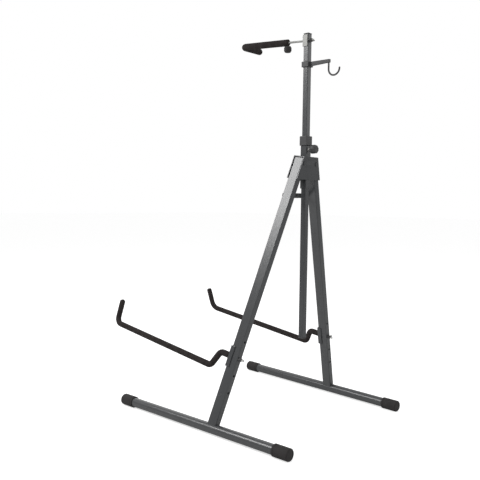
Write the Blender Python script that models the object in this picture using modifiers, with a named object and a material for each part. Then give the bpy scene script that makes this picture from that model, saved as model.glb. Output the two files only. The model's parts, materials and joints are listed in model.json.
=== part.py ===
# Double bass stand: a folding A-frame on two floor bars, two padded arms,
# a telescoping square mast with a padded neck rest and a bow hook.
# Metres, +Z up. The arms and the neck rest point to -Y, the front.

import math

import bmesh
import bpy
from mathutils import Matrix, Vector

GAP = 0.0003                      # between pieces that touch
RUNNING = 0.0004                  # round a pin or a sliding tube

# Main frame
SPLAY = math.radians(18.33)       # each leg from the middle plane
LEAN = math.radians(7.36)         # plane of the legs from upright
LEG_LENGTH = 0.953                # pivot to floor bar axis
LEG_DEPTH = 0.037
LEG_WIDTH = 0.0226
LEG_WALL = 0.0016
LEG_ABOVE_PIVOT = 0.017
PIVOT_HALF_SPACING = 0.033

# Floor bars
BAR_RADIUS = 0.0168
BAR_WALL = 0.0018
BAR_FRONT = 0.456                 # leg joint to the bar's front end
BAR_REAR = 0.319
CAP_RADIUS = 0.0205
CAP_LENGTH = 0.062
CAP_WALL_END = 0.006
CAP_SIDES = 32

# Mast and head
MAST_SIDE = 0.020
MAST_WALL = 0.0016
MAST_BELOW_PIVOT = 0.619
MAST_ABOVE_PIVOT = 0.445
SLEEVE_WALL = 0.0024
SLEEVE_BELOW_PIVOT = 0.089
SLEEVE_ABOVE_PIVOT = 0.0605
COLLAR_SIDE = 0.032
COLLAR_HEIGHT = 0.033
PLATE_THICKNESS = 0.0026
PLATE_BELOW_PIVOT = 0.056
PLATE_OVERHANG = 0.003            # past the outer face of the leg
WASHER_THICKNESS = 0.0015
WASHER_RADIUS = 0.010
PIVOT_RADIUS = 0.004
BOLT_HEAD_RADIUS = 0.0075
BOLT_HEAD_HEIGHT = 0.0035

# Height clamp
SCREW_RADIUS = 0.003
SCREW_ABOVE_PIVOT = 0.047
BOSS_RADIUS = 0.007
BOSS_LENGTH = 0.008
KNOB_RADIUS = 0.0155
KNOB_LENGTH = 0.024
KNOB_STANDOFF = 0.011             # sleeve face to the knob

# Folding stay
STAY_BELOW_PIVOT = 0.124          # along the leg
STAY_HEIGHT = 0.017
STAY_THICKNESS = 0.003
STAY_PIN_RADIUS = 0.003
STAY_HEAD_RADIUS = 0.006
STAY_HEAD_HEIGHT = 0.003

# Arm holes, counted up the leg from the floor bar
HOLE_FIRST = 0.129
HOLE_PITCH = 0.059
HOLE_COUNT = 4
HOLE_RADIUS = 0.004
ARM_HOLE = 2                      # the arm sits in this hole, from 0

# Arms, in the plane of the leg's depth
ARM_TUBE_RADIUS = 0.006
ARM_FOAM_RADIUS = 0.011
FOAM_CLEARANCE = 0.0009           # bore of the foam round its rod
ARM_DROP = 0.057                  # the long run lies this far below the stud
ARM_KNEE = 0.070                  # leg axis to the first bend
ARM_SHIN = 0.096                  # leg axis to the start of the long run
ARM_REACH = 0.650                 # leg axis to the upturned tip
ARM_TIP_LEAN = 0.012
ARM_TIP_RISE = 0.088
ARM_BEND = 0.020
ARM_TIP_BEND = 0.030
BRACKET_HEIGHT = 0.072
BRACKET_WALL = 0.003
BRACKET_FLANGE = 0.014            # along the side of the leg
STUD_RADIUS = 0.003
STUD_TAIL = 0.020                 # past the rear of the leg
NUT_HUB_RADIUS = 0.006
NUT_HUB_LENGTH = 0.009
WING_SPAN = 0.014
WING_HEIGHT = 0.008
WING_THICKNESS = 0.003

# Neck rest
REST_BELOW_TOP = 0.022            # stud below the mast top
SADDLE_HEIGHT = 0.040
SADDLE_WALL = 0.0025
SADDLE_FLANGE = 0.018
REST_RISE = math.radians(5.0)
REST_ROD_RADIUS = 0.0035
REST_PAD_RADIUS = 0.012
REST_PAD_START = 0.085            # mast axis to the rear end of the pad
REST_PAD_REACH = 0.312            # mast axis to the front arm
REST_ARM_LENGTH = 0.100
REST_BEND = 0.022
REST_STUB_LENGTH = 0.024
REST_STUB_RADIUS = 0.0135

# Bow hook
HOOK_BELOW_TOP = 0.1035
HOOK_RING_SIDE = 0.029
HOOK_RING_HEIGHT = 0.019
HOOK_ARM_LENGTH = 0.096           # mast axis to the end of the arm
HOOK_ARM_WIDTH = 0.009
HOOK_ARM_ROOT = 0.015
HOOK_ARM_END = 0.011
HOOK_WIRE_RADIUS = 0.003
HOOK_CURVE_RADIUS = 0.022
HOOK_DROP = 0.026

sleeveBore = MAST_SIDE + 2 * RUNNING
sleeveSide = sleeveBore + 2 * SLEEVE_WALL
barAxisHeight = CAP_RADIUS * math.cos(math.pi / CAP_SIDES)
pivotHeight = barAxisHeight + LEG_LENGTH * math.cos(SPLAY) * math.cos(LEAN)
plateInside = LEG_DEPTH / 2 + WASHER_THICKNESS + 2 * GAP
plateOutside = plateInside + PLATE_THICKNESS
barPitch = math.atan(math.tan(LEAN) / math.cos(SPLAY))
armAboveBar = HOLE_FIRST + HOLE_PITCH * ARM_HOLE
restHeight = MAST_ABOVE_PIVOT - REST_BELOW_TOP
hookHeight = MAST_ABOVE_PIVOT - HOOK_BELOW_TOP

for old in list(bpy.data.objects):
    bpy.data.objects.remove(old, do_unlink=True)
standCollection = bpy.data.collections.new('double_bass_stand')
cutterCollection = bpy.data.collections.new('cutters')
bpy.context.scene.collection.children.link(standCollection)
bpy.context.scene.collection.children.link(cutterCollection)


def make_material(name, colour, roughness, metallic):
    material = bpy.data.materials.new(name)
    material.use_nodes = True
    shader = material.node_tree.nodes['Principled BSDF']
    shader.inputs['Base Color'].default_value = (*colour, 1.0)
    shader.inputs['Roughness'].default_value = roughness
    shader.inputs['Metallic'].default_value = metallic
    return material


darkPaint = make_material('dark_paint', (0.055, 0.060, 0.065), 0.35, 0.3)
rubber = make_material('rubber', (0.030, 0.028, 0.028), 0.80, 0.0)
foam = make_material('foam', (0.032, 0.028, 0.026), 0.95, 0.0)
zinc = make_material('zinc', (0.60, 0.60, 0.58), 0.35, 1.0)
plastic = make_material('plastic', (0.040, 0.040, 0.042), 0.5, 0.0)


def frame(name, parent=None, location=(0, 0, 0), rotation=(0, 0, 0)):
    """An empty that carries pieces; its own axes are the piece's axes."""
    empty = bpy.data.objects.new(name, None)
    empty.location = location
    empty.rotation_euler = rotation
    empty.parent = parent
    standCollection.objects.link(empty)
    return empty


def add_object(name, mesh, holder, material, location=(0, 0, 0), rotation=(0, 0, 0)):
    piece = bpy.data.objects.new(name, mesh)
    piece.parent = holder
    piece.location = location
    piece.rotation_euler = rotation
    if material is None:
        piece.hide_render = True
        piece.display_type = 'WIRE'
        cutterCollection.objects.link(piece)
    else:
        piece.data.materials.append(material)
        standCollection.objects.link(piece)
    return piece


def box(name, size, holder, material=None, location=(0, 0, 0), rotation=(0, 0, 0), bevel=0.0, taper=1.0):
    """A box; taper scales the width of its top."""
    mesh = bpy.data.meshes.new(name)
    shape = bmesh.new()
    bmesh.ops.create_cube(shape, size=1.0)
    for vert in shape.verts:
        narrow = taper if vert.co.z > 0 else 1.0
        vert.co = Vector((vert.co.x * size[0] * narrow, vert.co.y * size[1], vert.co.z * size[2]))
    shape.to_mesh(mesh)
    shape.free()
    piece = add_object(name, mesh, holder, material, location, rotation)
    if bevel > 0:
        rounding = piece.modifiers.new('rounding', 'BEVEL')
        rounding.width = bevel
        rounding.segments = 2
    return piece


def cylinder(name, radius, length, holder, material=None, location=(0, 0, 0), rotation=(0, 0, 0), sides=24):
    """A cylinder along its own Z, centred on its place."""
    mesh = bpy.data.meshes.new(name)
    shape = bmesh.new()
    bmesh.ops.create_cone(shape, cap_ends=True, segments=sides, radius1=radius, radius2=radius, depth=length)
    shape.to_mesh(mesh)
    shape.free()
    mesh.shade_smooth()
    mesh.set_sharp_from_angle(angle=math.radians(30))
    return add_object(name, mesh, holder, material, location, rotation)


def turned(name, profile, holder, material, location=(0, 0, 0), rotation=(0, 0, 0), steps=24):
    """A profile of (radius, height) points, outer side from top to bottom, spun about Z."""
    mesh = bpy.data.meshes.new(name)
    points = [(radius, 0.0, height) for radius, height in profile]
    edges = [(i, i + 1) for i in range(len(points) - 1)]
    if profile[0][0] > 0:
        edges.append((len(points) - 1, 0))
    mesh.from_pydata(points, edges, [])
    piece = add_object(name, mesh, holder, material, location, rotation)
    spin = piece.modifiers.new('spin', 'SCREW')
    spin.steps = steps
    spin.render_steps = steps
    spin.use_merge_vertices = True
    spin.merge_threshold = 0.00001
    spin.use_normal_calculate = False
    return piece


def change(piece, other, operation='DIFFERENCE'):
    cut = piece.modifiers.new(other.name, 'BOOLEAN')
    cut.object = other
    cut.operation = operation
    return piece


def rounded_path(corners, radii, step=math.radians(15)):
    """Straight runs between corners, joined by arcs of the given radii."""
    points = [Vector(corners[0])]
    for before, corner, after, radius in zip(corners, corners[1:], corners[2:], radii):
        corner = Vector(corner)
        into = (corner - Vector(before)).normalized()
        away = (Vector(after) - corner).normalized()
        turn = into.angle(away)
        reach = radius * math.tan(turn / 2)
        start = corner - into * reach
        side = (away - into * into.dot(away)).normalized()
        count = max(2, round(turn / step))
        for i in range(count + 1):
            angle = turn * i / count
            points.append(start + into * radius * math.sin(angle) + side * radius * (1 - math.cos(angle)))
    points.append(Vector(corners[-1]))
    return points


def rod(name, points, radius, holder, material, filled=True, resolution=2):
    """A round rod along a path, as a mesh."""
    data = bpy.data.curves.new(name, 'CURVE')
    data.dimensions = '3D'
    data.bevel_depth = radius
    data.bevel_resolution = resolution
    data.use_fill_caps = filled
    spline = data.splines.new('POLY')
    spline.points.add(len(points) - 1)
    for point, place in zip(spline.points, points):
        point.co = (*place, 1.0)
    curve = bpy.data.objects.new(name + '_path', data)
    standCollection.objects.link(curve)
    evaluated = curve.evaluated_get(bpy.context.evaluated_depsgraph_get())
    mesh = bpy.data.meshes.new_from_object(evaluated)
    mesh.name = name
    bpy.data.objects.remove(curve, do_unlink=True)
    shape = bmesh.new()
    shape.from_mesh(mesh)
    bmesh.ops.remove_doubles(shape, verts=shape.verts, dist=0.00001)
    bmesh.ops.recalc_face_normals(shape, faces=shape.faces)
    shape.to_mesh(mesh)
    shape.free()
    return add_object(name, mesh, holder, material)


def foam_sleeve(name, points, radius, bore, holder):
    """A soft tube round a rod: its outer skin, thickened inwards to the bore."""
    piece = rod(name, points, radius, holder, foam, filled=False, resolution=3)
    wall = piece.modifiers.new('wall', 'SOLIDIFY')
    wall.thickness = radius - bore
    wall.offset = -1.0
    return piece


def wing_nut(name, holder, location, rotation, bore):
    """A hub with two wings; its own Z points away from what it clamps."""
    hub = [(NUT_HUB_RADIUS, NUT_HUB_LENGTH), (NUT_HUB_RADIUS * 1.15, 0), (bore, 0), (bore, NUT_HUB_LENGTH)]
    nut = turned(name, hub, holder, plastic, location, rotation)
    wingLength = WING_SPAN - NUT_HUB_RADIUS + 0.0015
    for side in (-1, 1):
        middle = side * (WING_SPAN - wingLength / 2)
        wing = box(name + '_wing_%d' % (side + 1), (wingLength, WING_THICKNESS, WING_HEIGHT), nut,
                   location=(middle, 0, NUT_HUB_LENGTH / 2 + 0.002), bevel=0.001)
        change(nut, wing, 'UNION')
    return nut


alongY = (math.radians(-90), 0, 0)      # turns a piece's Z to +Y, the rear
alongFront = (math.radians(90), 0, 0)   # turns a piece's Z to -Y, the front

stand = frame('stand')
head = frame('head_frame', stand, (0, 0, pivotHeight))
leaning = frame('leaning_frame', head, rotation=(-LEAN, 0, 0))


def build_head():
    sleeveHeight = SLEEVE_BELOW_PIVOT + SLEEVE_ABOVE_PIVOT
    sleeveMiddle = (SLEEVE_ABOVE_PIVOT - SLEEVE_BELOW_PIVOT) / 2
    sleeve = box('head_sleeve', (sleeveSide, sleeveSide, sleeveHeight), head, darkPaint, (0, 0, sleeveMiddle), bevel=0.0012)
    change(sleeve, box('cut_sleeve_bore', (sleeveBore, sleeveBore, 2 * sleeveHeight), head))
    change(sleeve, cylinder('cut_screw_way', SCREW_RADIUS + RUNNING, sleeveSide, head,
                            location=(0, sleeveSide / 2, SCREW_ABOVE_PIVOT), rotation=alongY))
    collar = box('sleeve_collar', (COLLAR_SIDE, COLLAR_SIDE, COLLAR_HEIGHT), head, plastic,
                 (0, 0, SLEEVE_ABOVE_PIVOT + GAP + COLLAR_HEIGHT / 2), bevel=0.002)
    change(collar, box('cut_collar_bore', (sleeveBore, sleeveBore, 2 * COLLAR_HEIGHT), head,
                       location=(0, 0, SLEEVE_ABOVE_PIVOT + COLLAR_HEIGHT / 2)))

    clearTop = math.hypot(LEG_ABOVE_PIVOT, LEG_WIDTH / 2) + 0.001
    plateTop = clearTop + PLATE_THICKNESS
    plateHeight = plateTop + PLATE_BELOW_PIVOT
    legOutside = PIVOT_HALF_SPACING + LEG_WIDTH / 2 / math.cos(SPLAY) + PLATE_OVERHANG
    topHalf = legOutside - plateTop * math.tan(SPLAY)
    bottomHalf = legOutside + PLATE_BELOW_PIVOT * math.tan(SPLAY)
    bracket = box('head_bracket', (2 * bottomHalf, 2 * plateOutside, plateHeight), leaning, darkPaint,
                  (0, 0, plateTop - plateHeight / 2), bevel=0.001, taper=topHalf / bottomHalf)
    change(bracket, box('cut_bracket_inside', (4 * bottomHalf, 2 * plateInside, plateHeight), leaning,
                        location=(0, 0, clearTop - plateHeight / 2)))
    change(bracket, box('cut_bracket_sleeve', (sleeveSide + 2 * GAP, sleeveSide + 2 * GAP, sleeveHeight), head,
                        location=(0, 0, sleeveMiddle)))
    for side, word in ((1, 'right'), (-1, 'left')):
        x = side * PIVOT_HALF_SPACING
        change(bracket, cylinder('cut_pivot_' + word, PIVOT_RADIUS + GAP, 4 * plateOutside, leaning,
                                 location=(x, 0, 0), rotation=alongY))
        half = plateOutside + GAP
        tail = half + BOLT_HEAD_HEIGHT
        profile = [(0, tail), (BOLT_HEAD_RADIUS * 0.8, tail), (BOLT_HEAD_RADIUS, half + BOLT_HEAD_HEIGHT / 2),
                   (BOLT_HEAD_RADIUS, half), (PIVOT_RADIUS, half), (PIVOT_RADIUS, -half), (BOLT_HEAD_RADIUS, -half),
                   (BOLT_HEAD_RADIUS, -half - BOLT_HEAD_HEIGHT / 2), (BOLT_HEAD_RADIUS * 0.8, -tail), (0, -tail)]
        turned('pivot_bolt_' + word, profile, leaning, darkPaint, (x, 0, 0), alongY)
        for face, place in ((1, 'rear'), (-1, 'front')):
            middle = face * (LEG_DEPTH / 2 + GAP + WASHER_THICKNESS / 2)
            washer = [(WASHER_RADIUS, WASHER_THICKNESS / 2), (WASHER_RADIUS, -WASHER_THICKNESS / 2),
                      (PIVOT_RADIUS + GAP, -WASHER_THICKNESS / 2), (PIVOT_RADIUS + GAP, WASHER_THICKNESS / 2)]
            turned('pivot_washer_%s_%s' % (place, word), washer, leaning, plastic, (x, middle, 0), alongY)

    boss = [(BOSS_RADIUS, BOSS_LENGTH), (BOSS_RADIUS, 0), (SCREW_RADIUS + RUNNING, 0), (SCREW_RADIUS + RUNNING, BOSS_LENGTH)]
    turned('screw_boss', boss, head, zinc, (0, sleeveSide / 2 + GAP, SCREW_ABOVE_PIVOT), alongY)
    knobFrame = frame('knob_frame', head, (0, sleeveSide / 2, SCREW_ABOVE_PIVOT), alongY)
    tip = -(sleeveSide - MAST_SIDE) / 2 + GAP
    back = KNOB_STANDOFF + KNOB_LENGTH
    knob = [(0, back), (KNOB_RADIUS * 0.7, back), (KNOB_RADIUS * 0.93, back - 0.002), (KNOB_RADIUS, back - 0.006),
            (KNOB_RADIUS, KNOB_STANDOFF + 0.006), (KNOB_RADIUS * 0.93, KNOB_STANDOFF + 0.002),
            (KNOB_RADIUS * 0.6, KNOB_STANDOFF), (SCREW_RADIUS, KNOB_STANDOFF), (SCREW_RADIUS, tip), (0, tip)]
    turned('height_knob', knob, knobFrame, plastic, steps=32)


def build_mast():
    mastFrame = frame('mast_frame', head)
    length = MAST_ABOVE_PIVOT + MAST_BELOW_PIVOT
    middle = (MAST_ABOVE_PIVOT - MAST_BELOW_PIVOT) / 2
    mast = box('mast', (MAST_SIDE, MAST_SIDE, length), mastFrame, darkPaint, (0, 0, middle), bevel=0.0015)
    inside = MAST_SIDE - 2 * MAST_WALL
    change(mast, box('cut_mast_inside', (inside, inside, 2 * length), mastFrame))
    change(mast, cylinder('cut_mast_stud', STUD_RADIUS + RUNNING, 2 * MAST_SIDE, mastFrame,
                          location=(0, 0, restHeight), rotation=alongY))
    for word, end, side in (('top', MAST_ABOVE_PIVOT, 1), ('bottom', -MAST_BELOW_PIVOT, -1)):
        cap = box('mast_cap_' + word, (MAST_SIDE + 0.001, MAST_SIDE + 0.001, 0.003), mastFrame, plastic,
                  (0, 0, end + side * (GAP + 0.0015)), bevel=0.0008)
        plug = box('add_mast_plug_' + word, (inside - 2 * GAP, inside - 2 * GAP, 0.012), mastFrame,
                   location=(0, 0, end - side * (0.006 - 0.001)))
        change(cap, plug, 'UNION')
    return mastFrame


def build_neck_rest(mastFrame):
    rest = frame('neck_rest_frame', mastFrame, (0, 0, restHeight))
    half = MAST_SIDE / 2
    outside = half + GAP + SADDLE_WALL
    depth = SADDLE_FLANGE + SADDLE_WALL
    saddle = box('rest_saddle', (2 * outside, depth, SADDLE_HEIGHT), rest, zinc,
                 (0, -outside + depth / 2, 0), bevel=0.0012)
    change(saddle, box('cut_saddle_channel', (2 * (half + GAP), depth, 2 * SADDLE_HEIGHT), rest,
                       location=(0, -half - GAP + depth / 2, 0)))
    change(saddle, cylinder('cut_saddle_stud', STUD_RADIUS + GAP, 0.02, rest, location=(0, -outside, 0), rotation=alongY))
    tail = half + STUD_TAIL - 0.004
    rodStart = -outside - GAP
    stud = [(0, tail), (STUD_RADIUS, tail), (STUD_RADIUS, rodStart + GAP), (0, rodStart + GAP)]
    turned('rest_stud', stud, rest, zinc, (0, 0, 0), alongY)

    forward = Vector((0, -math.cos(REST_RISE), math.sin(REST_RISE)))
    corner = forward * REST_PAD_REACH
    armEnd = corner + Vector((-REST_ARM_LENGTH, 0, 0))
    rodRoot = forward * ((REST_ROD_RADIUS * math.sin(REST_RISE) - rodStart) / math.cos(REST_RISE))
    wire = rounded_path([rodRoot, corner, armEnd], [REST_BEND])
    rod('rest_rod', wire, REST_ROD_RADIUS, rest, zinc)
    padStart = forward * REST_PAD_START
    sleevePath = rounded_path([padStart, corner, armEnd], [REST_BEND])
    foam_sleeve('rest_pad', sleevePath, REST_PAD_RADIUS, REST_ROD_RADIUS + FOAM_CLEARANCE, rest)
    dome = [(0, 0.008), (REST_PAD_RADIUS * 0.55, 0.0065), (REST_PAD_RADIUS * 0.88, 0.0035), (REST_PAD_RADIUS, 0), (0, 0)]
    turned('rest_pad_tip', dome, rest, foam, armEnd + Vector((-GAP, 0, 0)), (0, math.radians(-90), 0))
    stubTop = padStart + forward * 0.004 + Vector((0, 0, -REST_PAD_RADIUS - GAP))
    stub = [(0, 0), (REST_STUB_RADIUS * 0.8, -0.001), (REST_STUB_RADIUS, -0.006), (REST_STUB_RADIUS, 0.008 - REST_STUB_LENGTH),
            (REST_STUB_RADIUS * 0.75, 0.0025 - REST_STUB_LENGTH), (0, -REST_STUB_LENGTH)]
    turned('rest_pad_stop', stub, rest, rubber, stubTop, (0, 0, 0))
    wing_nut('rest_wing_nut', mastFrame, (0, half + GAP, restHeight), alongY, STUD_RADIUS + GAP)


def build_bow_hook(mastFrame):
    hook = frame('bow_hook_frame', mastFrame, (0, 0, hookHeight))
    clamp = box('bow_hook_clamp', (HOOK_RING_SIDE, HOOK_RING_SIDE, HOOK_RING_HEIGHT), hook, plastic, bevel=0.0015)
    root = HOOK_RING_SIDE / 2 - 0.002
    armLength = HOOK_ARM_LENGTH - root
    taper = HOOK_ARM_END / HOOK_ARM_ROOT
    rearward = (Matrix.Rotation(math.radians(-90), 3, 'X') @ Matrix.Rotation(math.radians(90), 3, 'Z')).to_euler()
    arm = box('add_hook_arm', (HOOK_ARM_ROOT, HOOK_ARM_WIDTH, armLength), hook,
              location=(0, root + armLength / 2, 0), rotation=rearward, bevel=0.001, taper=taper)
    change(clamp, arm, 'UNION')
    change(clamp, box('cut_hook_bore', (MAST_SIDE + 2 * RUNNING, MAST_SIDE + 2 * RUNNING, 2 * HOOK_RING_HEIGHT), hook))
    y = HOOK_ARM_LENGTH - 0.005
    z = -HOOK_ARM_END / 2 - GAP
    centre = Vector((0, y + HOOK_CURVE_RADIUS, z - HOOK_DROP + 0.004))
    points = [Vector((0, y, z))]
    for i in range(13):
        angle = math.pi + math.pi * i / 12 * 1.05
        points.append(centre + HOOK_CURVE_RADIUS * Vector((0, math.cos(angle), math.sin(angle))))
    rod('bow_hook_wire', points, HOOK_WIRE_RADIUS, hook, plastic)


def build_leg(side, word):
    legFrame = frame('leg_frame_' + word, leaning, (side * PIVOT_HALF_SPACING, 0, 0), (0, -side * SPLAY, 0))
    foot = -LEG_LENGTH
    length = LEG_LENGTH + LEG_ABOVE_PIVOT
    middle = (LEG_ABOVE_PIVOT - LEG_LENGTH) / 2
    leg = box('leg_' + word, (LEG_WIDTH, LEG_DEPTH, length), legFrame, darkPaint, (0, 0, middle), bevel=0.002)
    inner = (LEG_WIDTH - 2 * LEG_WALL, LEG_DEPTH - 2 * LEG_WALL, 2 * length)
    change(leg, box('cut_leg_inside_' + word, inner, legFrame, location=(0, 0, middle)))
    change(leg, cylinder('cut_leg_pivot_' + word, PIVOT_RADIUS + RUNNING, 2 * LEG_DEPTH, legFrame, rotation=alongY))
    change(leg, cylinder('cut_leg_stay_' + word, STAY_PIN_RADIUS + RUNNING, LEG_DEPTH, legFrame,
                         location=(0, -LEG_DEPTH / 2, -STAY_BELOW_PIVOT), rotation=alongY))
    for i in range(HOLE_COUNT):
        change(leg, cylinder('cut_leg_hole_%d_%s' % (i, word), HOLE_RADIUS, 2 * LEG_DEPTH, legFrame,
                             location=(0, 0, foot + HOLE_FIRST + i * HOLE_PITCH), rotation=alongY))
    cap = box('leg_cap_' + word, (inner[0] - 2 * GAP, inner[1] - 2 * GAP, 0.008), legFrame, plastic,
              (0, 0, LEG_ABOVE_PIVOT - 0.0042))
    cap.modifiers.clear()

    # The bar lies flat on the floor when the leg is at its full splay.
    barFrame = frame('bar_frame_' + word, legFrame, (0, 0, foot), (barPitch, 0, 0))
    change(leg, cylinder('cut_leg_bar_' + word, BAR_RADIUS + GAP, 0.2, barFrame, rotation=alongY, sides=32))
    below = box('cut_leg_foot_' + word, (0.1, 0.2, 0.1), barFrame, location=(0, 0, -0.05))
    change(leg, below)
    levelled = frame('level_frame_' + word, barFrame, rotation=(0, side * levelTurn(), 0))
    flat = (math.radians(-90), 0, 0)
    barMiddle = (BAR_REAR - BAR_FRONT) / 2
    barLength = BAR_REAR + BAR_FRONT
    bar = cylinder('floor_bar_' + word, BAR_RADIUS, barLength, levelled, darkPaint, (0, barMiddle, 0), flat, sides=32)
    change(bar, cylinder('cut_bar_inside_' + word, BAR_RADIUS - BAR_WALL, 2 * barLength, levelled,
                         location=(0, barMiddle, 0), rotation=flat, sides=32))
    for end, place in ((BAR_REAR, 'rear'), (-BAR_FRONT, 'front')):
        out = 1 if end > 0 else -1
        face = end + out * (GAP + CAP_WALL_END)
        centre = face - out * CAP_LENGTH / 2
        capName = 'bar_cap_%s_%s' % (place, word)
        cover = cylinder(capName, CAP_RADIUS, CAP_LENGTH, levelled, rubber, (0, centre, 0), flat, sides=CAP_SIDES)
        turn = math.pi / CAP_SIDES
        cover.rotation_euler = (Matrix.Rotation(math.radians(-90), 3, 'X') @ Matrix.Rotation(turn, 3, 'Z')).to_euler()
        bore = cylinder('cut_' + capName, BAR_RADIUS + GAP, CAP_LENGTH, levelled,
                        location=(0, centre - out * CAP_WALL_END, 0), rotation=flat, sides=32)
        change(cover, bore)
    return legFrame


def levelTurn():
    """Turn about the bar that brings its frame upright from the leg's frame."""
    up = Vector((-math.sin(SPLAY), math.cos(SPLAY) * math.sin(LEAN), math.cos(SPLAY) * math.cos(LEAN)))
    axis = Vector((0, math.cos(LEAN), -math.sin(LEAN)))
    along = axis * math.cos(barPitch) + up * math.sin(barPitch)
    across = axis.cross(up)
    upright = across.cross(along)
    return math.atan2(across.z, upright.z)


def build_arm(side, word, legFrame):
    armFrame = frame('arm_frame_' + word, legFrame, (0, 0, armAboveBar - LEG_LENGTH))
    front = LEG_DEPTH / 2 + GAP
    depth = BRACKET_WALL + BRACKET_FLANGE
    outer = LEG_WIDTH + 2 * (2 * GAP + BRACKET_WALL)
    bracket = box('arm_bracket_' + word, (outer, depth, BRACKET_HEIGHT), armFrame, darkPaint,
                  (0, -front - BRACKET_WALL + depth / 2, 0), bevel=0.001)
    change(bracket, box('cut_bracket_channel_' + word, (LEG_WIDTH + 4 * GAP, depth, 2 * BRACKET_HEIGHT), armFrame,
                        location=(0, -front + depth / 2, 0)))
    studStart = -front + GAP
    tail = LEG_DEPTH / 2 + STUD_TAIL
    stud = [(0, tail), (STUD_RADIUS, tail), (STUD_RADIUS, studStart), (0, studStart)]
    turned('arm_stud_' + word, stud, armFrame, zinc, (0, 0, 0), alongY)
    start = -front - BRACKET_WALL - GAP
    corners = [(0, start, 0), (0, -ARM_KNEE, 0), (0, -ARM_SHIN, -ARM_DROP), (0, -ARM_REACH, -ARM_DROP),
               (0, -ARM_REACH - ARM_TIP_LEAN, -ARM_DROP + ARM_TIP_RISE)]
    path = rounded_path(corners, [ARM_BEND, ARM_BEND, ARM_TIP_BEND])
    rod('arm_tube_' + word, path, ARM_TUBE_RADIUS, armFrame, darkPaint)
    sleevePath = [Vector((0, start - 0.002, 0))] + path[1:]
    foam_sleeve('arm_foam_' + word, sleevePath, ARM_FOAM_RADIUS, ARM_TUBE_RADIUS + FOAM_CLEARANCE, armFrame)
    tipUp = (path[-1] - path[-2]).normalized()
    dome = [(0, 0.008), (ARM_FOAM_RADIUS * 0.55, 0.0068), (ARM_FOAM_RADIUS * 0.88, 0.0038), (ARM_FOAM_RADIUS, 0), (0, 0)]
    tilt = math.atan2(ARM_TIP_LEAN, ARM_TIP_RISE)
    turned('arm_tip_' + word, dome, armFrame, foam, path[-1] + tipUp * GAP, (tilt, 0, 0))
    wing_nut('arm_wing_nut_' + word, legFrame, (0, LEG_DEPTH / 2 + GAP, armAboveBar - LEG_LENGTH), alongY, STUD_RADIUS + GAP)


def build_stay(side, word, legFrame, layer):
    """One flat link from the leg's front face to the middle plane; layer counts forward from the leg."""
    pinX = PIVOT_HALF_SPACING + STAY_BELOW_PIVOT * math.sin(SPLAY)
    stayFrame = frame('stay_frame_' + word, legFrame, (0, 0, -STAY_BELOW_PIVOT), (0, side * SPLAY, 0))
    front = -LEG_DEPTH / 2 - GAP - layer * (STAY_THICKNESS + GAP) - STAY_THICKNESS / 2
    length = pinX + STAY_HEIGHT
    link = box('stay_link_' + word, (length, STAY_THICKNESS, STAY_HEIGHT), stayFrame, darkPaint,
               (-side * pinX / 2, front, 0), bevel=0.0008)
    change(link, cylinder('cut_stay_pin_' + word, STAY_PIN_RADIUS + RUNNING, 0.02, stayFrame,
                          location=(0, front, 0), rotation=alongY))
    outside = front - STAY_THICKNESS / 2 - GAP
    inside = -LEG_DEPTH / 2 + LEG_WALL
    pin = [(0, inside), (STAY_PIN_RADIUS, inside), (STAY_PIN_RADIUS, outside), (STAY_HEAD_RADIUS, outside),
           (STAY_HEAD_RADIUS * 0.8, outside - STAY_HEAD_HEIGHT), (0, outside - STAY_HEAD_HEIGHT)]
    turned('stay_bolt_' + word, pin, legFrame, darkPaint, (0, 0, -STAY_BELOW_PIVOT), alongY)
    away = 1 if layer == 0 else -1
    seat = front + away * (STAY_THICKNESS / 2 + GAP)
    if away < 0:
        button = [(0, 0), (STAY_HEAD_RADIUS, 0), (STAY_HEAD_RADIUS * 0.7, -0.0025), (0, -0.0025)]
    else:
        button = [(0, 0.0025), (STAY_HEAD_RADIUS * 0.7, 0.0025), (STAY_HEAD_RADIUS, 0), (0, 0)]
    turned('stay_rivet_' + word, button, stayFrame, darkPaint, (-side * pinX, seat, 0), alongY)


build_head()
mastHolder = build_mast()
build_neck_rest(mastHolder)
build_bow_hook(mastHolder)
for side, word, layer in ((1, 'right', 0), (-1, 'left', 1)):
    holder = build_leg(side, word)
    build_arm(side, word, holder)
    build_stay(side, word, holder, layer)

# The origin is under the middle of the stand's box: front is the arms' tips, rear the bars' ends.
bpy.context.view_layer.update()
depsgraph = bpy.context.evaluated_depsgraph_get()
reach = []
for piece in standCollection.objects:
    if piece.type == 'MESH':
        solid = piece.evaluated_get(depsgraph)
        reach += [solid.matrix_world @ vert.co for vert in solid.data.vertices]
stand.location.x = -(min(p.x for p in reach) + max(p.x for p in reach)) / 2
stand.location.y = -(min(p.y for p in reach) + max(p.y for p in reach)) / 2
bpy.context.view_layer.update()
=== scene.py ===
import json
import math

import bmesh
import bpy
import numpy as np
from mathutils import Matrix, Vector


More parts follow.
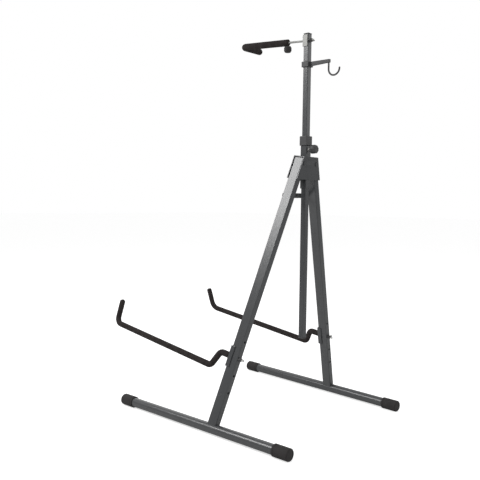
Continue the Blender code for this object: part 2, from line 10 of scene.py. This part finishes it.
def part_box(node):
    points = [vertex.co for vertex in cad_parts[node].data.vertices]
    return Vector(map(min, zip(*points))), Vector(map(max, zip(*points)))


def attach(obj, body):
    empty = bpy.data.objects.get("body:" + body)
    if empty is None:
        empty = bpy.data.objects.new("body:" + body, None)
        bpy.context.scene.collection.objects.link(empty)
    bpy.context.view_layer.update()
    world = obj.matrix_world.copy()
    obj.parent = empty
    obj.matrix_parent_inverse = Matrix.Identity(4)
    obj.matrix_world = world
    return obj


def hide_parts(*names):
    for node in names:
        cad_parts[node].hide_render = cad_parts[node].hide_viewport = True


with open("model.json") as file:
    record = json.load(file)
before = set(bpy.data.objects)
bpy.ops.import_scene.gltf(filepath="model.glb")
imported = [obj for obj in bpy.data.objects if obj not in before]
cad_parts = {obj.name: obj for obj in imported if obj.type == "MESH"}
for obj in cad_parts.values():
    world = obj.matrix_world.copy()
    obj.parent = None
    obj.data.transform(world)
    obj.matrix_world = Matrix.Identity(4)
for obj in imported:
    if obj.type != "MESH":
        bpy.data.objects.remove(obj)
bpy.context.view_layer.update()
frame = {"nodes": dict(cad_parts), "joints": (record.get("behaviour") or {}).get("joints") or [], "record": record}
nodes = frame["nodes"]
joints = {joint["name"]: joint for joint in frame["joints"]}
sideWords = ("right", "left")
print("frame loaded:", len(nodes), "nodes")

# The photograph's camera: place in metres, turn in degrees, focal length in pixels of its own frame.
cameraValues = {"place": (1.7514, 1.6151, 0.7804), "azimuth": 133.43, "elevation": 3.55, "roll": 0.69,
                "focalPixels": 620.6, "framePixels": 480, "sensor": 36.0}


def makeCamera(values):
    azimuth = math.radians(values["azimuth"])
    elevation = math.radians(values["elevation"])
    back = Vector((math.sin(azimuth) * math.cos(elevation), -math.cos(azimuth) * math.cos(elevation),
                   math.sin(elevation)))      # from the stand towards the camera
    right = Vector((0, 0, 1)).cross(back).normalized()
    up = back.cross(right)
    turn = Matrix((right, up, back)).transposed().to_4x4()
    roll = Matrix.Rotation(math.radians(values["roll"]), 4, "Z")
    data = bpy.data.cameras.new("photoCamera")
    data.sensor_width = values["sensor"]
    data.lens = values["sensor"] * values["focalPixels"] / values["framePixels"]
    camera = bpy.data.objects.new("photoCamera", data)
    camera.matrix_world = Matrix.Translation(values["place"]) @ turn @ roll
    bpy.context.scene.collection.objects.link(camera)
    bpy.context.scene.camera = camera


makeCamera(cameraValues)
print("camera placed")


# Shader groups: each effect is built once and placed in every finish with its own values

white = (1, 1, 1, 1)
black = (0, 0, 0, 1)


def newGroup(name, inputs, outputs):
    group = bpy.data.node_groups.new(name, "ShaderNodeTree")
    for label, kind, value in inputs:
        socket = group.interface.new_socket(name=label, in_out="INPUT", socket_type=kind)
        socket.default_value = value
    for label, kind in outputs:
        group.interface.new_socket(name=label, in_out="OUTPUT", socket_type=kind)
    return group, group.nodes.new("NodeGroupInput"), group.nodes.new("NodeGroupOutput")


def addNoise(group, scale, detail):
    # Noise on Object coordinates, its scale taken from a socket.
    place = group.nodes.new("ShaderNodeTexCoord")
    noise = group.nodes.new("ShaderNodeTexNoise")
    noise.inputs["Detail"].default_value = detail
    group.links.new(place.outputs["Object"], noise.inputs["Vector"])
    group.links.new(scale, noise.inputs["Scale"])
    return noise.outputs["Fac"]


def addSpread(group, value, low, high):
    # Maps low..high to 0..1, clamped.
    spread = group.nodes.new("ShaderNodeMapRange")
    spread.inputs["From Min"].default_value = low
    spread.inputs["From Max"].default_value = high
    group.links.new(value, spread.inputs["Value"])
    return spread.outputs["Result"]


def addBlend(group, factor, first, second):
    # Goes from the first colour to the second as the factor goes from 0 to 1.
    blend = group.nodes.new("ShaderNodeMix")
    blend.data_type = "RGBA"
    group.links.new(factor, blend.inputs["Factor"])
    group.links.new(first, blend.inputs["A"])
    group.links.new(second, blend.inputs["B"])
    return blend.outputs["Result"]


mottleValues = {"detail": 6.0, "low": 0.35, "high": 0.65}


def makeMottleGroup(values):
    # Cloudy change between two colours, and of roughness with it.
    group, given, result = newGroup(
        "mottle",
        [("Light", "NodeSocketColor", white), ("Dark", "NodeSocketColor", black),
         ("Scale", "NodeSocketFloat", 20.0), ("Rough low", "NodeSocketFloat", 0.3),
         ("Rough high", "NodeSocketFloat", 0.5)],
        [("Color", "NodeSocketColor"), ("Roughness", "NodeSocketFloat")])
    cloud = addNoise(group, given.outputs["Scale"], values["detail"])
    spread = addSpread(group, cloud, values["low"], values["high"])
    colour = addBlend(group, spread, given.outputs["Dark"], given.outputs["Light"])
    rough = group.nodes.new("ShaderNodeMapRange")
    group.links.new(cloud, rough.inputs["Value"])
    group.links.new(given.outputs["Rough low"], rough.inputs["To Min"])
    group.links.new(given.outputs["Rough high"], rough.inputs["To Max"])
    group.links.new(colour, result.inputs["Color"])
    group.links.new(rough.outputs["Result"], result.inputs["Roughness"])
    return group


grainValues = {"detail": 3.0, "distance": 0.0003}


def makeGrainGroup(values):
    # Fine surface relief: orange peel on paint, cells in foam.
    group, given, result = newGroup(
        "surfaceGrain",
        [("Scale", "NodeSocketFloat", 600.0), ("Strength", "NodeSocketFloat", 0.1),
         ("Distance", "NodeSocketFloat", values["distance"])],
        [("Normal", "NodeSocketVector")])
    cells = addNoise(group, given.outputs["Scale"], values["detail"])
    bump = group.nodes.new("ShaderNodeBump")
    group.links.new(cells, bump.inputs["Height"])
    group.links.new(given.outputs["Strength"], bump.inputs["Strength"])
    group.links.new(given.outputs["Distance"], bump.inputs["Distance"])
    group.links.new(bump.outputs["Normal"], result.inputs["Normal"])
    return group


# Where the painted edge highlight starts and ends on the pointiness scale.
edgeHighlightValues = {"low": 0.52, "high": 0.62}


def makeEdgeHighlightGroup(values):
    # Painted highlight: a lighter colour where an edge is convex, standing in for the light that edges catch.
    group, given, result = newGroup(
        "paintedEdgeHighlight",
        [("Color", "NodeSocketColor", white), ("Highlight", "NodeSocketColor", white),
         ("Amount", "NodeSocketFloat", 0.5)],
        [("Color", "NodeSocketColor")])
    shape = group.nodes.new("ShaderNodeNewGeometry")
    edge = addSpread(group, shape.outputs["Pointiness"], values["low"], values["high"])
    scaled = group.nodes.new("ShaderNodeMath")
    scaled.operation = "MULTIPLY"
    group.links.new(edge, scaled.inputs[0])
    group.links.new(given.outputs["Amount"], scaled.inputs[1])
    colour = addBlend(group, scaled.outputs["Value"], given.outputs["Color"], given.outputs["Highlight"])
    group.links.new(colour, result.inputs["Color"])
    return group


mottleGroup = makeMottleGroup(mottleValues)
grainGroup = makeGrainGroup(grainValues)
edgeHighlightGroup = makeEdgeHighlightGroup(edgeHighlightValues)
print("shader groups made")


# Finishes, one for each material slot of the record

# In each finish, the lighter edge colour and its amount paint a highlight on convex edges; they are not wear.
finishValues = {
    "dark_paint": {"light": (0.032, 0.035, 0.039), "dark": (0.024, 0.027, 0.031), "highlight": (0.12, 0.12, 0.12),
                   "edgeHighlight": 0.4, "metallic": 0.0, "specular": 0.6, "cloud": 9.0, "rough": (0.22, 0.34),
                   "grain": 900.0, "relief": 0.12},
    "rubber": {"light": (0.034, 0.031, 0.031), "dark": (0.022, 0.020, 0.020), "highlight": (0.06, 0.06, 0.06),
               "edgeHighlight": 0.3, "metallic": 0.0, "specular": 0.3, "cloud": 30.0, "rough": (0.6, 0.85),
               "grain": 500.0, "relief": 0.25},
    "foam": {"light": (0.036, 0.031, 0.030), "dark": (0.022, 0.018, 0.018), "highlight": (0.05, 0.045, 0.04),
             "edgeHighlight": 0.2, "metallic": 0.0, "specular": 0.15, "cloud": 60.0, "rough": (0.85, 1.0),
             "grain": 1100.0, "relief": 0.25},
    "zinc": {"light": (0.36, 0.36, 0.35), "dark": (0.26, 0.26, 0.25), "highlight": (0.5, 0.5, 0.48),
             "edgeHighlight": 0.3, "metallic": 0.5, "specular": 0.4, "cloud": 80.0, "rough": (0.5, 0.65),
             "grain": 700.0, "relief": 0.08},
    "plastic": {"light": (0.060, 0.060, 0.062), "dark": (0.040, 0.040, 0.042), "highlight": (0.12, 0.12, 0.12),
                "edgeHighlight": 0.3, "metallic": 0.0, "specular": 0.4, "cloud": 25.0, "rough": (0.42, 0.6),
                "grain": 1200.0, "relief": 0.2}}


def addGroup(tree, group, inputs):
    node = tree.nodes.new("ShaderNodeGroup")
    node.node_tree = group
    for label, value in inputs.items():
        node.inputs[label].default_value = value
    return node


def makeFinish(name, values):
    material = bpy.data.materials.new(name)
    material.use_nodes = True
    tree = material.node_tree
    link = tree.links.new
    shader = tree.nodes["Principled BSDF"]
    shader.inputs["Metallic"].default_value = values["metallic"]
    shader.inputs["Specular IOR Level"].default_value = values["specular"]
    mottle = addGroup(tree, mottleGroup, {
        "Light": (*values["light"], 1), "Dark": (*values["dark"], 1), "Scale": values["cloud"],
        "Rough low": values["rough"][0], "Rough high": values["rough"][1]})
    # Lighter convex edges: a painted highlight.
    edgeHighlight = addGroup(tree, edgeHighlightGroup, {"Highlight": (*values["highlight"], 1), "Amount": values["edgeHighlight"]})
    grain = addGroup(tree, grainGroup, {"Scale": values["grain"], "Strength": values["relief"]})
    link(mottle.outputs["Color"], edgeHighlight.inputs["Color"])
    link(edgeHighlight.outputs["Color"], shader.inputs["Base Color"])
    link(mottle.outputs["Roughness"], shader.inputs["Roughness"])
    link(grain.outputs["Normal"], shader.inputs["Normal"])
    return material


finishes = {name: makeFinish(name, values) for name, values in finishValues.items()}
slotOf = {row["node"]: row["material_slot"] for row in frame["record"]["subparts"]}
for nodeName, piece in nodes.items():
    piece.data.materials.clear()
    piece.data.materials.append(finishes[slotOf[nodeName]])
print("finishes made")


# Surfaces worked out with numpy: sizes in metres, angles in degrees

meshValues = {"mergeDistance": 0.000002, "sharpAngle": 40.0}


def addPiece(name, grid, body, slotName, replaced, values=meshValues):
    # A grid has a row of points for each step along the piece and a column for each step round it.
    # Each face joins a point, the next one round, and the two after them along the piece.
    rows, columns = grid.shape[:2]
    row, column = np.meshgrid(np.arange(rows - 1), np.arange(columns), indexing="ij")
    following = (column + 1) % columns
    faces = np.stack([row * columns + column, row * columns + following,
                      (row + 1) * columns + following, (row + 1) * columns + column], -1).reshape(-1, 4)
    mesh = bpy.data.meshes.new(name)
    mesh.from_pydata(grid.reshape(-1, 3).tolist(), [], faces.tolist())
    work = bmesh.new()
    work.from_mesh(mesh)
    bmesh.ops.remove_doubles(work, verts=work.verts, dist=values["mergeDistance"])      # closes the poles
    bmesh.ops.recalc_face_normals(work, faces=work.faces)
    work.to_mesh(mesh)
    work.free()
    mesh.shade_smooth()
    mesh.set_sharp_from_angle(angle=math.radians(values["sharpAngle"]))
    mesh.materials.append(finishes[slotName])
    piece = bpy.data.objects.new(name, mesh)
    bpy.context.scene.collection.objects.link(piece)
    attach(piece, body)
    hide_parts(*replaced)
    return piece


def unit(vector):
    return np.asarray(vector, float) / np.linalg.norm(vector)


turnReference = (0.3, 0.2, 0.9)      # only has to point away from every turned piece's axis


def turnedGrid(profile, centre, axis, steps, flutes=None):
    # Point = centre + axis * height + radius * (side * cos t + other * sin t), for each (radius, height).
    # Flutes pull the radius in by depth * (1 + cos(count * t)) / 2 wherever it is over their inner radius.
    axis = unit(axis)
    side = unit(np.cross(axis, turnReference))
    other = np.cross(axis, side)
    turn = np.linspace(0, 2 * np.pi, steps, endpoint=False)
    profile = np.array(profile)
    radius = profile[:, :1] * np.ones(steps)
    if flutes:
        pulled = flutes["depth"] * (0.5 + 0.5 * np.cos(flutes["count"] * turn))
        radius = radius * (1 - pulled * (radius > flutes["inner"]))
    height = profile[:, 1:, None] * axis
    ring = np.cos(turn)[:, None] * side + np.sin(turn)[:, None] * other
    return np.asarray(centre) + height + radius[..., None] * ring


pathValues = {"spacing": 0.004, "arcPoints": 14}


def straightRun(start, end, spacing):
    # Point k = start + (end - start) * k / count, from the first after the start to the end itself.
    gap = end - start
    count = max(1, int(np.linalg.norm(gap) / spacing))
    return start + gap * np.arange(1, count + 1)[:, None] / count


def roundedPath(corners, radii, values=pathValues):
    # Straight runs joined by arcs: point = start + into * R * sin(a) + side * R * (1 - cos(a)).
    points = np.array([corners[0]], float)
    for before, corner, after, radius in zip(corners, corners[1:], corners[2:], radii):
        into = unit(np.subtract(corner, before))
        away = unit(np.subtract(after, corner))
        turn = math.acos(float(np.clip(into @ away, -1, 1)))
        start = np.asarray(corner) - into * radius * math.tan(turn / 2)
        side = unit(away - into * (into @ away))
        angle = np.linspace(0, turn, values["arcPoints"])[:, None]
        arc = start + into * radius * np.sin(angle) + side * radius * (1 - np.cos(angle))
        run = straightRun(points[-1], arc[0], values["spacing"])
        points = np.concatenate([points, run[:-1], arc])
    run = straightRun(points[-1], np.asarray(corners[-1]), values["spacing"])
    return np.concatenate([points, run])


sweepReference = (0.31, 0.52, 0.79)      # only has to point away from every path's first direction


def sweptGrid(path, radii, steps=32):
    # A circle carried along the path: point = p + r * (normal * cos t + other * sin t).
    # Each normal is the one before it made square to the path again, so the grid doesn't twist.
    along = np.gradient(path, axis=0)
    along /= np.linalg.norm(along, axis=1)[:, None]
    normal = unit(np.cross(along[0], sweepReference))
    normals = []
    for way in along:
        normal = unit(normal - way * (normal @ way))
        normals.append(normal)
    normals = np.array(normals)
    others = np.cross(along, normals)
    turn = np.linspace(0, 2 * np.pi, steps, endpoint=False)[None, :, None]
    ring = np.cos(turn) * normals[:, None] + np.sin(turn) * others[:, None]
    return path[:, None] + radii[:, None, None] * ring


def closedGrid(path, radii, **options):
    # The swept circle with the path's two ends added as poles.
    grid = sweptGrid(path, radii, **options)
    first = np.repeat(path[:1][:, None], grid.shape[1], 1)
    last = np.repeat(path[-1:][:, None], grid.shape[1], 1)
    return np.concatenate([first, grid, last])


rippleValues = {"periods": (0.045, 0.083, 0.13), "wave": 6.283, "phaseSpan": 6.28, "seed": 3}


def softRadii(path, radius, startRound, endRound, ripple=0.0, values=rippleValues):
    # Radius along a sleeve. Each ripple takes off depth * (1 + sin(wave * length / period + phase)) / 2,
    # and an end is domed as sqrt(1 - (1 - distance / size)^2) over its rounding's size.
    steps = np.linalg.norm(np.diff(path, axis=0), axis=1)
    length = np.concatenate([[0], np.cumsum(steps)])
    radii = np.full(len(path), radius)
    periods = values["periods"]
    phases = np.random.default_rng(values["seed"]).uniform(0, values["phaseSpan"], len(periods))
    for period, phase in zip(periods, phases):
        wave = np.sin(values["wave"] * length / period + phase)
        radii = radii - ripple * (0.5 + 0.5 * wave) / len(periods)
    for distance, size in ((length, startRound), (length[-1] - length, endRound)):
        if size > 0:
            near = np.clip(distance / size, 0, 1)
            radii = radii * np.sqrt(np.clip(1 - (1 - near) ** 2, 0, 1))
    return radii


# Padded arms: sizes from the leg's middle line at the stud, forward of the leg and up along it.
armValues = {"nutSeat": 0.0188, "radius": 0.011, "start": 0.0238, "knee": 0.070, "shin": 0.096, "drop": 0.057,
             "reach": 0.650, "tipLean": 0.012, "tipRise": 0.088, "bend": 0.020, "tipBend": 0.030,
             "startRound": 0.003, "tipRound": 0.010, "tipLength": 0.0078, "ripple": 0.0002}


def makeArm(word, values):
    pivot = joints["leg_fold_" + word]
    up = unit(np.array(pivot["pos_m"]) - np.array(joints["stay_fold_" + word]["pos_m"]))
    back = unit(pivot["axis"])
    middle = np.array(joints["arm_nut_turn_" + word]["pos_m"]) - back * values["nutSeat"]

    def at(forward, rise):
        return middle - back * forward + up * rise

    tip = unit([values["tipLean"], values["tipRise"]]) * values["tipLength"]
    corners = [at(values["start"], 0), at(values["knee"], 0), at(values["shin"], -values["drop"]),
               at(values["reach"], -values["drop"]),
               at(values["reach"] + values["tipLean"] + tip[0], values["tipRise"] - values["drop"] + tip[1])]
    path = roundedPath(corners, [values["bend"], values["bend"], values["tipBend"]])
    radii = softRadii(path, values["radius"], values["startRound"], values["tipRound"], values["ripple"])
    piece = addPiece("padded_arm_" + word, closedGrid(path, radii), "arm_" + word, "foam",
                     ["arm_foam_" + word, "arm_tip_" + word])


for word in sideWords:
    makeArm(word, armValues)
print("padded arms made")

# Neck rest: sizes from the mast's axis, along a line that rises to the front.
restValues = {"rise": 5.0, "start": 0.083, "reach": 0.312, "armLength": 0.1076, "bend": 0.022,
              "radius": 0.012, "startRound": 0.005, "endRound": 0.010, "ripple": 0.0002}
rodValues = {"radius": 0.0035, "start": 0.0131, "end": 0.28}


def makeNeckRest(values, rod):
    mast = np.array(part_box("mast")).mean(0)
    middle = np.array([mast[0], mast[1], joints["rest_nut_turn"]["pos_m"][2]])
    rise = math.radians(values["rise"])
    forward = np.array([0, -math.cos(rise), math.sin(rise)])
    corner = middle + forward * values["reach"]
    end = corner + np.array([-values["armLength"], 0, 0])
    path = roundedPath([middle + forward * values["start"], corner, end], [values["bend"]])
    radii = softRadii(path, values["radius"], values["startRound"], values["endRound"], values["ripple"])
    pad = addPiece("neck_pad", closedGrid(path, radii), "neck_rest", "foam", ["rest_pad", "rest_pad_tip"])
    rodPath = roundedPath([middle + forward * rod["start"], middle + forward * rod["end"]], [])
    rodRadii = np.full(len(rodPath), rod["radius"])
    addPiece("neck_rest_rod", closedGrid(rodPath, rodRadii), "neck_rest", "zinc", ["rest_rod"])


makeNeckRest(restValues, rodValues)
print("neck rest made")

# Rubber caps of the floor bars: a lip at the mouth, a groove behind it, a rounded edge and a dished end.
capValues = {"bore": 0.0172, "radius": 0.0205, "length": 0.062, "boreDepth": 0.002, "lip": 0.0016,
             "lipEdge": (0.0004, 0.0008), "lipEnd": 0.002, "groove": (0.0068, 0.0088), "grooveDepth": 0.0007,
             "grooveSlope": 0.0006, "round": 0.005, "roundPoints": 10, "dish": (0.62, 0.60),
             "dishDepth": 0.0006, "solidFacets": 32, "steps": 64}
tubeValues = {"radius": 0.0168, "steps": 72}


def capProfile(values):
    # (radius, height) pairs from the mouth, at minus half the length, to the end's middle.
    half = values["length"] / 2
    # The solid stands on one of its facets, so the cap's radius is that facet's distance from the middle.
    flat = values["radius"] * math.cos(math.pi / values["solidFacets"])
    sunk = flat - values["grooveDepth"]
    start, end = values["groove"]
    angle = np.linspace(0, math.pi / 2, values["roundPoints"])
    edge = np.stack([flat - values["round"] * (1 - np.cos(angle)),
                     half - values["round"] + values["round"] * np.sin(angle)], -1)
    outer, inner = values["dish"]
    return [(values["bore"], -half + values["boreDepth"]), (values["bore"], -half),
            (flat - values["lip"], -half), (flat - values["lipEdge"][0], -half + values["lipEdge"][1]),
            (flat, -half + values["lipEnd"]),
            (flat, -half + start), (sunk, -half + start + values["grooveSlope"]),
            (sunk, -half + end - values["grooveSlope"]), (flat, -half + end), *edge,
            (flat * outer, half), (flat * inner, half - values["dishDepth"]), (0, half - values["dishDepth"])]


def makeBar(word, cap, tube):
    front = np.array(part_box("bar_cap_front_" + word)).mean(0)
    rear = np.array(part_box("bar_cap_rear_" + word)).mean(0)
    way = unit(rear - front)
    for place, centre, out in (("front", front, -way), ("rear", rear, way)):
        label = "%s_%s" % (place, word)
        grid = turnedGrid(capProfile(cap), centre, out, cap["steps"])
        addPiece("cap_" + label, grid, "leg_" + word, "rubber", ["bar_cap_" + label])
    half = np.linalg.norm(rear - front) / 2
    profile = [(0, -half), (tube["radius"], -half), (tube["radius"], half), (0, half)]
    grid = turnedGrid(profile, (front + rear) / 2, way, tube["steps"])
    addPiece("foot_tube_" + word, grid, "leg_" + word, "dark_paint", ["floor_bar_" + word])


for word in sideWords:
    makeBar(word, capValues, tubeValues)
print("floor bars made")

# Clamp knob: the grip and the crown are (share of the radius, height) pairs from the knob's two ends.
knobValues = {"seat": (0, 0.0128, 0), "axis": (0, 1, 0), "radius": 0.0155, "front": 0.011, "length": 0.024,
              "screw": 0.003, "screwTip": -0.0025, "steps": 90,
              "grip": [(0.5, 0), (0.86, 0.0008), (0.95, 0.0025), (1, 0.006)],
              "crown": [(1, 0.007), (0.95, 0.003), (0.84, 0.001), (0.6, 0), (0.5, 0.0005), (0, 0.0005)]}
fluteValues = {"count": 9, "depth": 0.10, "inner": 0.008}


def makeKnob(values, flutes):
    centre = np.array(joints["knob_turn"]["pos_m"]) + np.array(values["seat"])
    start = values["front"]
    end = values["front"] + values["length"]
    profile = [(0, values["screwTip"]), (values["screw"], values["screwTip"]), (values["screw"], start)]
    profile += [(values["radius"] * share, start + height) for share, height in values["grip"]]
    profile += [(values["radius"] * share, end - height) for share, height in values["crown"]]
    grid = turnedGrid(profile, centre, values["axis"], values["steps"], flutes)
    addPiece("clamp_knob", grid, "knob", "plastic", ["height_knob"])


makeKnob(knobValues, fluteValues)
print("knob made")

# Bow hook's wire: a short stem, then an arc of radius curve, round to just past level.
hookValues = {"radius": 0.003, "curve": 0.022, "drop": 0.022, "stemSpacing": 0.007, "stemPoints": 3,
              "arcStart": 180.0, "arcEnd": 369.0, "arcPoints": 40, "tipRound": 0.003, "steps": 20}


def makeHookWire(values):
    # Arc point = centre + curve * (forward * cos a + up * sin a).
    low, high = np.array(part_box("bow_hook_wire"))
    top = np.array([(low[0] + high[0]) / 2, low[1] + values["radius"], high[2]])
    forward = np.array([0, 1, 0])
    up = np.array([0, 0, 1])
    stem = top - up * values["stemSpacing"] * np.arange(values["stemPoints"])[:, None]
    centre = top + forward * values["curve"] - up * values["drop"]
    angle = np.radians(np.linspace(values["arcStart"], values["arcEnd"], values["arcPoints"]))[:, None]
    path = np.concatenate([stem, centre + values["curve"] * (np.cos(angle) * forward + np.sin(angle) * up)])
    radii = softRadii(path, values["radius"], 0, values["tipRound"])
    grid = closedGrid(path, radii, steps=values["steps"])
    addPiece("hook_wire", grid, "bow_hook", "plastic", ["bow_hook_wire"])


makeHookWire(hookValues)
print("bow hook wire made")


# Pale floor: its own glow is seen by the camera alone, and it keeps the stand's shadow

floorValues = {"size": 60, "colour": (0.8, 0.8, 0.8, 1), "roughness": 0.95, "glow": 0.62}


def makeFloor(values):
    bpy.ops.mesh.primitive_plane_add(size=values["size"], location=(0, 0, 0))
    floor = bpy.context.object
    floor.name = "floor"
    material = bpy.data.materials.new("paleFloor")
    material.use_nodes = True
    tree = material.node_tree
    shader = tree.nodes["Principled BSDF"]
    shader.inputs["Base Color"].default_value = values["colour"]
    shader.inputs["Roughness"].default_value = values["roughness"]
    shader.inputs["Emission Color"].default_value = white
    ray = tree.nodes.new("ShaderNodeLightPath")
    glow = tree.nodes.new("ShaderNodeMath")
    glow.operation = "MULTIPLY"
    glow.inputs[1].default_value = values["glow"]
    tree.links.new(ray.outputs["Is Camera Ray"], glow.inputs[0])
    tree.links.new(glow.outputs["Value"], shader.inputs["Emission Strength"])
    floor.data.materials.append(material)


# Soft studio light: the strip lamp is what the upper legs and the mast reflect
lightValues = {"key": {"place": (2.6, 2.2, 3.6), "size": 2.4, "power": 38.0},
               "fill": {"place": (-2.6, 2.8, 2.6), "size": 3.0, "power": 30.0},
               "strip": {"place": (2.1, -1.6, 2.55), "size": 1.2, "power": 50.0},
               "front": {"place": (-1.5, -3.4, 2.4), "size": 3.0, "power": 30.0}}
lightAim = (0, 0.1, 0.7)


def makeLights(values, aim):
    for name, row in values.items():
        data = bpy.data.lights.new(name, "AREA")
        data.size = row["size"]
        data.energy = row["power"]
        lamp = bpy.data.objects.new(name, data)
        lamp.location = row["place"]
        lamp.rotation_euler = (Vector(aim) - Vector(row["place"])).to_track_quat("-Z", "Y").to_euler()
        bpy.context.scene.collection.objects.link(lamp)


worldValues = {"light": 0.45, "backdrop": 1.0}


def makeWorld(values):
    # Dim where it lights the stand, white where the camera looks past it.
    world = bpy.data.worlds.new("studio")
    bpy.context.scene.world = world
    world.use_nodes = True
    tree = world.node_tree
    tree.nodes.clear()
    ray = tree.nodes.new("ShaderNodeLightPath")
    either = tree.nodes.new("ShaderNodeMath")
    either.operation = "MAXIMUM"
    tree.links.new(ray.outputs["Is Camera Ray"], either.inputs[0])
    tree.links.new(ray.outputs["Is Transmission Ray"], either.inputs[1])
    mix = tree.nodes.new("ShaderNodeMixShader")
    tree.links.new(either.outputs["Value"], mix.inputs["Fac"])
    for socket, strength in ((1, values["light"]), (2, values["backdrop"])):
        shade = tree.nodes.new("ShaderNodeBackground")
        shade.inputs["Color"].default_value = white
        shade.inputs["Strength"].default_value = strength
        tree.links.new(shade.outputs["Background"], mix.inputs[socket])
    out = tree.nodes.new("ShaderNodeOutputWorld")
    tree.links.new(mix.outputs["Shader"], out.inputs["Surface"])


makeFloor(floorValues)
makeLights(lightValues, lightAim)
makeWorld(worldValues)
bpy.context.scene.view_settings.view_transform = "Standard"
print("stage and lights made")
